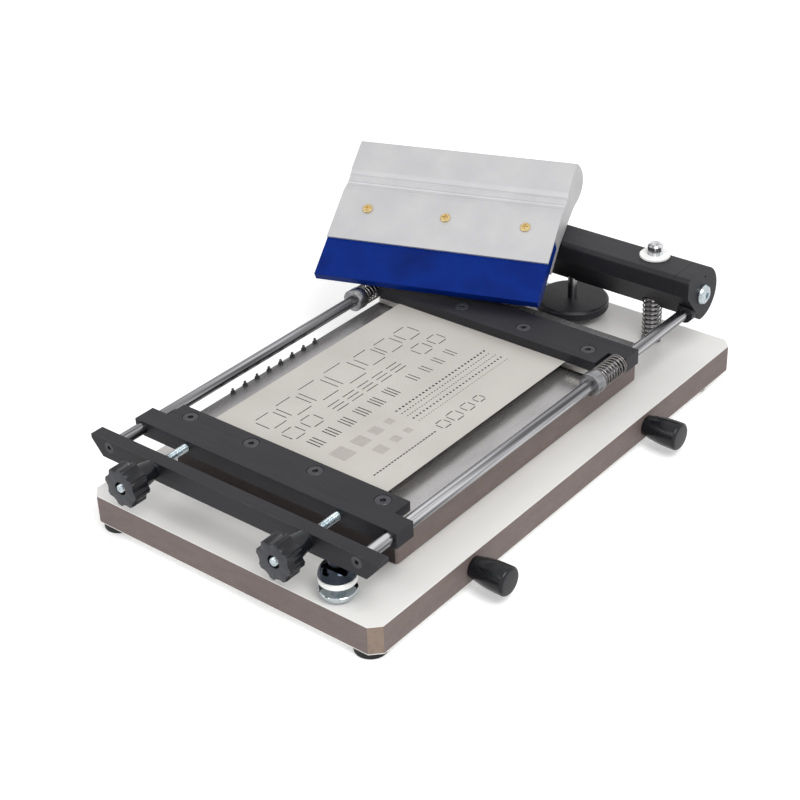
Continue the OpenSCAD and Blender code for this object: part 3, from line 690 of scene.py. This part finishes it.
def knobOutline(angle):
    step = math.tau / knob["lobes"]
    off = (angle + math.radians(knob["turned"]) + step / 2) % step - step / 2
    middle = knob["flute"] + knob["fluteRadius"]
    under = knob["fluteRadius"] ** 2 - (middle * math.sin(off)) ** 2
    flute = middle * math.cos(off) - math.sqrt(under) if under > 0 else knob["radius"]
    # the lobe's corner is rounded by a soft minimum of the two radii
    soft = knob["soft"]
    return -soft * math.log(math.exp(-flute / soft) + math.exp(-knob["radius"] / soft))


def addKnob(side):
    nodeName = side + "_star_knob"
    low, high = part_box(nodeName)
    centre = Vector(((low.x + high.x) / 2, low.y, (low.z + high.z) / 2))
    back = (high.y - low.y) * 1000
    edge, deep = knob["edge"], knob["deep"]
    near = edge * edgeMiddle
    lip = knob["lip"]
    profile = [
        (knob["bore"], knob["recessDeep"]), (knob["recess"], knob["recessDeep"]),
        (knob["recess"], lip), (knob["recess"] + lip, 0),
        (-edge, 0, "outlined"), (-near, near, "outlined"), (0, edge, "outlined"),
        (0, deep - edge, "outlined"), (-near, deep - near, "outlined"), (-edge, deep, "outlined"),
        (knob["neck"][0], deep), (knob["neck"][1], back), (knob["bore"], back),
    ]
    shape = bmesh.new()
    turn(shape, centre, rearwards, right, profile, knobOutline, around=144, bored=True)
    fluted = addPiece(nodeName + "_fluted", shape, finishOf(nodeName), nodeName, side + "_knob", smooth=28)
    # the front faces get the painted reflection finish
    paintFaces(fluted, "knob_face", lambda normal: normal.y < -0.95)


for side in ("left", "right"):
    addKnob(side)
print("stage: knobs turned")


# Front rest: a bowl-shaped foot on the base board, and a domed cup under the front bar.
rest = {
    "rim": 17.35,  # radius of both at their widest
    "rimRound": 0.5,
    "rimLow": 7.6,
    "rimHigh": 8.8,
    "foot": 12.6,  # radius on the board
    "footBulge": 1.0,
    "neck": 6.0,
    "cupTop": 8.0,
    "cupHigh": 11.5,
    "cupBulge": 2.6,
    "cupEdge": 0.6,
    "clear": 0.2,  # between the cup and the bar that it turns under
}
axisRadius = 0.5  # the innermost ring of a solid turned piece


def addRestFoot():
    # the pin that holds it goes into the board, where it does not show, and is not turned
    low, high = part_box("rest_disc")
    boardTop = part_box("base_laminates")[1].z
    top = (high.z - boardTop) * 1000
    rim, rimHigh = rest["rim"], rest["rimHigh"]
    profile = [(axisRadius, 0)]
    profile += arc((rest["foot"], 0), (rim, rest["rimLow"]), rest["footBulge"])
    profile += [(rim, rimHigh - rest["rimRound"]), (rim - rest["rimRound"], rimHigh)]
    profile += [(rest["neck"], rimHigh), (rest["neck"], top), (axisRadius, top)]
    centre = Vector(((low.x + high.x) / 2, (low.y + high.y) / 2, boardTop))
    shape = bmesh.new()
    turn(shape, centre, upright, right, profile)
    addPiece("rest_disc_turned", shape, materials["chromed_steel"], "rest_disc", "base", smooth=35)


def addRestCup():
    low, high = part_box("foot_cup")
    top = (high.z - low.z) * 1000 - rest["clear"]
    rim, edge, cupTop = rest["rim"], rest["cupEdge"], rest["cupTop"]
    profile = [(axisRadius, 0), (rim - edge, 0), (rim, edge)]
    profile += arc((rim, 2 * edge), (cupTop, rest["cupHigh"]), rest["cupBulge"])
    profile += [(cupTop, top), (axisRadius, top)]
    centre = Vector(((low.x + high.x) / 2, (low.y + high.y) / 2, low.z))
    shape = bmesh.new()
    turn(shape, centre, upright, right, profile)
    # the cup's dark colour is a painted reflection of the black front bar above it
    addPiece("foot_cup_turned", shape, materials["chrome_painted_dark_reflection"], "foot_cup", "rest_foot", smooth=35)


addRestFoot()
addRestCup()
print("stage: rest turned")


# Handles: slim at the board, swollen and rounded towards the free end. They stay a little inside
# the part's own, so that none stands past it.
handle = {"waist": 10.4, "edge": 0.4, "swell": 1.3, "round": 3.2, "inside": 0.05}


def addHandle(nodeName):
    low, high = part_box(nodeName)
    length = (high.x - low.x) * 1000
    radius = (high.z - low.z) * 500
    waist, edge, bend = handle["waist"], handle["edge"], handle["round"]
    profile = [(axisRadius, 0), (waist - edge, 0)]
    profile += arc((waist, edge), (radius - handle["inside"], length - bend), handle["swell"], steps=16)
    profile += rounding((radius - bend, length - bend), bend, 0, 90, steps=8)[1:]
    profile.append((axisRadius, length))
    centre = Vector((low.x, (low.y + high.y) / 2, (low.z + high.z) / 2))
    shape = bmesh.new()
    turn(shape, centre, right, rearwards, profile)
    body = nodes[nodeName]["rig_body"]
    addPiece(nodeName + "_turned", shape, finishOf(nodeName), nodeName, body, smooth=40)


for nodeName in ("front_handle", "rear_handle"):
    addHandle(nodeName)
print("stage: handles turned")


# Rubber feet: straight sides with a rounded lower rim.
foot = {"radius": 15.5, "round": 1.4, "topEdge": 0.4, "xs": (-155, 155), "ys": (16, 550)}


def addFeet():
    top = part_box("rubber_feet")[1].z * 1000
    radius, bend, edge = foot["radius"], foot["round"], foot["topEdge"]
    profile = [(axisRadius, 0)]
    profile += rounding((radius - bend, bend), bend, -90, 0, steps=6)
    profile += [(radius, top - edge), (radius - edge, top), (axisRadius, top)]
    shape = bmesh.new()
    for x in foot["xs"]:
        for y in foot["ys"]:
            turn(shape, spot(x, y, 0), upright, right, profile, around=64)
    addPiece("rubber_feet_moulded", shape, finishOf("rubber_feet"), "rubber_feet", "base", smooth=35)


addFeet()
print("stage: feet moulded")


# Clamp screw heads, in the seats cut above. The key's socket is so small that it is turned round,
# without its six flats.
def addClampScrews():
    radius = clampScrews["head"] / 2
    socket = clampScrews["socket"] / 2
    deep, seat, edge = clampScrews["socketDeep"], clampScrews["seat"], clampScrews["edge"]
    chamfer, middle = clampScrews["chamfer"], clampScrews["middle"]
    profile = [
        (middle, -deep), (socket, -deep), (socket, -edge), (socket + chamfer, 0),
        (radius - chamfer, 0), (radius, -edge), (radius, -seat), (middle, -seat - clampScrews["cone"]),
    ]
    shape = bmesh.new()
    for y in clampScrews["rows"].values():
        for x in clampScrews["xs"]:
            centre = spot(x, y, 0)
            centre.z = barTop
            turn(shape, centre, upright, right, profile, around=48)
    addPiece("clamp_screw_heads", shape, finishOf("clamp_screws"), "clamp_screws", "clamps", smooth=35)


addClampScrews()
print("stage: clamp screws turned")


def tube(shape, path, radius, sides=10):
    # a closed tube along the path; each ring stands square to it
    rings = []
    for k, point in enumerate(path):
        ahead = path[min(k + 1, len(path) - 1)] - path[max(k - 1, 0)]
        ahead.normalize()
        side = ahead.cross(upright)
        if side.length < 0.05:  # the path runs nearly upright here
            side = ahead.cross(rearwards)
        side.normalize()
        up = side.cross(ahead)
        angles = [math.tau * i / sides for i in range(sides)]
        corners = [point + radius * (math.cos(a) * side + math.sin(a) * up) for a in angles]
        rings.append([shape.verts.new(corner) for corner in corners])
    joinRings(shape, rings)


def coilPath(curls, coilRadius, wireWidth, length, closedTurns=1.2, steps=40):
    # from 0 to length along z: the end turns lie closed, the rest is spaced evenly
    points = []
    total = curls + 2 * closedTurns
    middle = length - wireWidth - 2 * closedTurns * wireWidth
    for k in range(int(total * steps) + 1):
        turned = k / steps
        if turned < closedTurns:
            height = turned * wireWidth
        elif turned > total - closedTurns:
            height = length - wireWidth - (total - turned) * wireWidth
        else:
            height = closedTurns * wireWidth + (turned - closedTurns) / curls * middle
        angle = math.tau * turned
        sideways = coilRadius * math.cos(angle), coilRadius * math.sin(angle)
        points.append(Vector((*sideways, height + wireWidth / 2)))
    return points


# Compression springs, wound from drawn wire, with closed ends.
postSprings = {"curls": 10, "outside": 21, "wire": 1.8, "xs": (-101, 101), "y": 555}
rodSprings = {"curls": 7, "outside": 22, "wire": 1.9, "xs": (-149, 149), "height": 92.6}
# The collars on the rods are short rings, which leaves the springs behind them more room.
collar = {"long": 12.6, "bore": 6.05, "edge": 0.6}


def addCollars():
    front = extentOf("rod_collars", 1)[0]
    low, high = extentOf("rod_collars", 2)
    profile = chamfered(collar["bore"], (high - low) / 2, collar["long"], collar["edge"])
    shape = bmesh.new()
    for x in rodSprings["xs"]:
        centre = spot(x, front, rodSprings["height"])
        turn(shape, centre, rearwards, right, profile, around=72, bored=True)
    addPiece("rod_collars_turned", shape, finishOf("rod_collars"), "rod_collars", "frame", smooth=30)


def windSprings(name, settings, start, end, nodeName):
    # start and end give y and z on the machine; a spring stands upright or lies along the rod
    lying = start[0] != end[0]
    length = math.dist(start, end)
    radius = (settings["outside"] - settings["wire"]) / 2
    path = coilPath(settings["curls"], radius, settings["wire"], length)
    if lying:
        path = [Vector((point.x, point.z, -point.y)) for point in path]
    shape = bmesh.new()
    for x in settings["xs"]:
        placed = [spot(x, *start) + point / 1000 for point in path]
        tube(shape, placed, settings["wire"] / 2000)
    return addPiece(name, shape, materials["spring_steel"], nodeName, body=None, smooth=50)


def addPostSprings():
    low, high = extentOf("post_springs", 2)
    y = postSprings["y"]
    coils = windSprings("post_spring_coils", postSprings, (y, low), (y, high), "post_springs")
    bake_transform(coils)


def addRodSprings():
    front = extentOf("rod_collars", 1)[0] + collar["long"]
    back = extentOf("rod_springs", 1)[1]
    z = rodSprings["height"]
    coils = windSprings("rod_spring_coils", rodSprings, (front, z), (back, z), "rod_springs")
    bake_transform(coils)


addPostSprings()
addCollars()
addRodSprings()
print("stage: springs wound")


# Tension studs: M8 bar, rolled thread, zinc plated, with chamfered ends.
studs = {"xs": (-92, 92), "height": 92, "outside": 7.9, "pitch": 1.25, "chamfer": 0.6}
threadShape = {
    "depth": 0.61,  # as a share of the pitch
    "flank": 1.35,  # above 1 the crest is flattened
    "root": 0.15,  # how much of the depth the root's flat takes off
}


def threadedBar(shape, foot, along, across, lengthMm, settings, around=28, ringsPerPitch=8):
    # one unbroken helical thread: each ring's radius rises and falls once round
    other = along.cross(across)
    pitch, full = settings["pitch"], settings["outside"] / 2
    depth = threadShape["depth"] * pitch
    count = int(lengthMm / pitch * ringsPerPitch)
    rings = []
    for k in range(count + 1):
        height = lengthMm * k / count
        nearEnd = min(height, lengthMm - height)
        widest = full - max(0.0, settings["chamfer"] - nearEnd)
        ring = []
        for i in range(around):
            phase = (height / pitch - i / around) % 1.0
            slope = threadShape["flank"] * (1 - abs(2 * phase - 1)) - threadShape["root"]
            radius = min(full - depth * (1 - min(1.0, max(0.0, slope))), widest)
            angle = math.tau * i / around
            direction = math.cos(angle) * across + math.sin(angle) * other
            ring.append(shape.verts.new(foot + (along * height + radius * direction) / 1000))
        rings.append(ring)
    joinRings(shape, rings)


def addStuds():
    front, back = extentOf("tension_studs", 1)
    shape = bmesh.new()
    for x in studs["xs"]:
        threadedBar(shape, spot(x, front, studs["height"]), rearwards, right, back - front, studs)
    addPiece("tension_stud_threads", shape, materials["zinc_steel"], "tension_studs", "clamps", smooth=40)


addStuds()
print("stage: studs threaded")


# Stencil foil: a generic set of solder apertures, in rows as test stencils have, cut right through.
# All of it is laid out in mm, x from the foil's left edge and y from the front clamp bar.
foil = {
    "front": 98.0,  # where the foil comes out from the front clamp bar, on the machine
    "line": 1.15,
    "sideShare": 0.72,  # how much of a ring's side is open
    "rings": {  # x, then y and size of each
        46: ((38, 24), (70, 28), (106, 32), (146, 34), (184, 26), (214, 24), (244, 22)),
        78: ((34, 18), (60, 18), (228, 18), (252, 16)),
        182: ((128, 12), (146, 14), (166, 12), (184, 10)),
    },
    "bars": {"xs": (74, 80, 86), "ys": (96, 118, 140, 162, 184), "long": 17},
    "combs": (
        {"x": 106, "y": 30, "groups": 6, "apart": 22, "teeth": 3, "step": 4.2, "long": 17, "thick": 1.2},
        {"x": 106, "y": 176, "groups": 4, "apart": 20, "teeth": 2, "step": 4.6, "long": 15, "thick": 1},
    ),
    "dots": {"x": 132, "apart": 7, "from": 120, "to": 262},
    "dotColumns": ((5.2, 2.4), (4.2, 1.6), (3.6, 1.4), (5.2, 2.2), (3.6, 1.2)),  # step and size
    "dashes": {"x": 184, "y": 24, "count": 22, "step": 4.2, "wide": 1.6, "deep": 2.8},
    "etched": (  # patches etched half through: x, y, width and depth
        (138, 34, 20, 18), (138, 60, 16, 15), (138, 82, 13, 12), (162, 60, 13, 12),
        (162, 82, 10, 10), (162, 100, 8, 8), (138, 102, 9, 9),
    ),
}
foilLow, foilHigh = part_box("stencil_foil")
cuts = []


def cut(x, y, wide, deep):
    cuts.append((x - wide / 2, x + wide / 2, y - deep / 2, y + deep / 2))


def cutRing(x, y, size):
    line, side = foil["line"], size * foil["sideShare"]
    for away in (-size / 2, size / 2):
        cut(x, y + away, side, line)
        cut(x + away, y, line, side)


def layOutCuts():
    line = foil["line"]
    for x, ringRow in foil["rings"].items():
        for y, size in ringRow:
            cutRing(x, y, size)
    bars, dots, dashes = foil["bars"], foil["dots"], foil["dashes"]
    for x in bars["xs"]:
        for y in bars["ys"]:
            cut(x, y, line, bars["long"])
    for comb in foil["combs"]:
        for group in range(comb["groups"]):
            for tooth in range(comb["teeth"]):
                y = comb["y"] + group * comb["apart"] + tooth * comb["step"]
                cut(comb["x"], y, comb["long"], line * comb["thick"])
    for column, (step, size) in enumerate(foil["dotColumns"]):
        y = dots["from"]
        while y < dots["to"]:
            cut(dots["x"] + column * dots["apart"], y, size, size)
            y += step
    for k in range(dashes["count"]):
        cut(dashes["x"], dashes["y"] + k * dashes["step"], dashes["wide"], dashes["deep"])


def foilSheet():
    # a grid whose lines are the edges of all cuts and patches; the cells inside a cut are left out
    front, back = extentOf("stencil_foil", 1)
    foilWide = (foilHigh.x - foilLow.x) * 1000
    openFront = foil["front"]
    xs = {0.0, foilWide}
    ys = {front, back}
    for x0, x1, y0, y1 in cuts:
        xs |= {round(x0, 3), round(x1, 3)}
        ys |= {round(openFront + y0, 3), round(openFront + y1, 3)}
    for x, y, wide, deep in foil["etched"]:
        xs |= {x - wide / 2, x + wide / 2}
        ys |= {openFront + y - deep / 2, openFront + y + deep / 2}
    xs, ys = sorted(xs), sorted(ys)
    shape = bmesh.new()
    grid = {}

    def corner(i, j):
        if (i, j) not in grid:
            x, y = foilLow.x + xs[i] / 1000, machineZero.y + ys[j] / 1000
            grid[i, j] = shape.verts.new((x, y, foilHigh.z))
        return grid[i, j]

    for i in range(len(xs) - 1):
        middleX = (xs[i] + xs[i + 1]) / 2
        crossed = [c for c in cuts if c[0] < middleX < c[1]]
        for j in range(len(ys) - 1):
            middleY = (ys[j] + ys[j + 1]) / 2 - openFront
            if any(y0 < middleY < y1 for x0, x1, y0, y1 in crossed):
                continue
            face = shape.faces.new((corner(i, j), corner(i + 1, j), corner(i + 1, j + 1), corner(i, j + 1)))
            for x, y, wide, deep in foil["etched"]:
                if abs(middleX - x) < wide / 2 and abs(middleY - y) < deep / 2:
                    face.material_index = 1
    return shape


def addFoil():
    piece = newPiece("stencil_foil_cut", foilSheet(), materials["stainless_foil"])
    piece.data.materials.append(materials["etched_foil"])
    thickness = piece.modifiers.new("foilThickness", "SOLIDIFY")
    thickness.thickness = foilHigh.z - foilLow.z
    thickness.offset = -1
    applyModifiers(piece)
    standFor(piece, "stencil_foil", "clamps")
    print("stage: foil cut,", len(piece.data.polygons), "faces")


layOutCuts()
addFoil()


# The studio: white paper under the machine, soft light all round and two round lamps.
studio = {
    "paper": "#ffffff",
    "paperSize": 12,
    "paperBelow": 0.0002,  # under the feet
    "lift": 0.3,  # light that only the camera sees on the paper, so that it comes out white
    "light": 0.66,  # strength of the soft light
}
lamps = {
    "keyLamp": {"place": (1.0, -0.45, 1.5), "size": 1.0, "watts": 17.0},
    "fillLamp": {"place": (-0.6, -1.4, 0.9), "size": 0.9, "watts": 4.0},
}
lampAim = Vector((0, 0, 0.05))


def buildFloor():
    bpy.ops.mesh.primitive_plane_add(size=studio["paperSize"], location=(0, 0, -studio["paperBelow"]))
    floor = bpy.context.object
    floor.name = "floor"
    material = bpy.data.materials.new("studioPaperWhite")
    material.use_nodes = True
    tree = material.node_tree
    tree.nodes.clear()
    rays = addNode(tree, "ShaderNodeLightPath").outputs
    paper = addNode(tree, "ShaderNodeBsdfDiffuse", {"Color": linearColour(studio["paper"])}).outputs[0]
    glow = addNode(tree, "ShaderNodeEmission", {"Strength": 1.0}).outputs[0]
    # the camera sees the paper's shading lifted to white, and metal and glass see plain white
    lift = addNode(tree, "ShaderNodeEmission", {"Strength": studio["lift"]}).outputs[0]
    lifted = addNode(tree, "ShaderNodeAddShader", links={0: paper, 1: lift}).outputs[0]
    sight = {0: rays["Is Camera Ray"], 1: paper, 2: lifted}
    seen = addNode(tree, "ShaderNodeMixShader", links=sight).outputs[0]
    mirrored = {0: rays["Is Glossy Ray"], 1: rays["Is Transmission Ray"]}
    glossy = addNode(tree, "ShaderNodeMath", links=mirrored, operation="MAXIMUM").outputs[0]
    both = addNode(tree, "ShaderNodeMixShader", links={0: glossy, 1: seen, 2: glow}).outputs[0]
    addNode(tree, "ShaderNodeOutputMaterial", links={"Surface": both})
    floor.data.materials.append(material)


def buildWorld():
    world = bpy.data.worlds.new("studio")
    bpy.context.scene.world = world
    world.use_nodes = True
    tree = world.node_tree
    tree.nodes.clear()
    white = (1, 1, 1, 1)
    rays = addNode(tree, "ShaderNodeLightPath").outputs
    soft = addNode(tree, "ShaderNodeBackground", {"Color": white, "Strength": studio["light"]}).outputs[0]
    plain = addNode(tree, "ShaderNodeBackground", {"Color": white, "Strength": 1.0}).outputs[0]
    sights = {0: rays["Is Camera Ray"], 1: rays["Is Glossy Ray"]}
    first = addNode(tree, "ShaderNodeMath", links=sights, operation="MAXIMUM").outputs[0]
    sights = {0: first, 1: rays["Is Transmission Ray"]}
    second = addNode(tree, "ShaderNodeMath", links=sights, operation="MAXIMUM").outputs[0]
    mixed = addNode(tree, "ShaderNodeMixShader", links={0: second, 1: soft, 2: plain}).outputs[0]
    addNode(tree, "ShaderNodeOutputWorld", links={"Surface": mixed})


def buildLamp(name, settings):
    lamp = bpy.data.lights.new(name, "AREA")
    lamp.shape = "DISK"
    lamp.size = settings["size"]
    lamp.energy = settings["watts"]
    holder = bpy.data.objects.new(name, lamp)
    bpy.context.scene.collection.objects.link(holder)
    holder.location = settings["place"]
    holder.rotation_euler = (lampAim - holder.location).to_track_quat("-Z", "Y").to_euler()


buildFloor()
buildWorld()
for name, settings in lamps.items():
    buildLamp(name, settings)

# The camera, from a fit to the photograph's straight edges: place in mm on the machine, angles in degrees.
cameraSettings = {"place": (912.1, -842.8, 946.8), "turn": 39.76, "down": 31.4, "tilt": -2.2, "lens": 77.14}


def buildCamera():
    turned, down, tilt = (math.radians(cameraSettings[k]) for k in ("turn", "down", "tilt"))
    forwards = math.cos(down)
    ahead = Vector((-math.sin(turned) * forwards, math.cos(turned) * forwards, -math.sin(down)))
    level = Vector((math.cos(turned), math.sin(turned), 0))
    above = level.cross(ahead)
    across = math.cos(tilt) * level + math.sin(tilt) * above
    up = -math.sin(tilt) * level + math.cos(tilt) * above
    data = bpy.data.cameras.new("camera")
    data.sensor_width = 36
    data.lens = cameraSettings["lens"]
    data.clip_start = 0.05
    data.clip_end = 30
    camera = bpy.data.objects.new("camera", data)
    bpy.context.scene.collection.objects.link(camera)
    placed = Matrix((across, up, -ahead)).transposed().to_4x4()
    placed.translation = spot(*cameraSettings["place"])
    camera.matrix_world = placed
    bpy.context.scene.camera = camera


buildCamera()
bpy.context.scene.view_settings.view_transform = "Standard"
print("stage: floor, light and camera set")
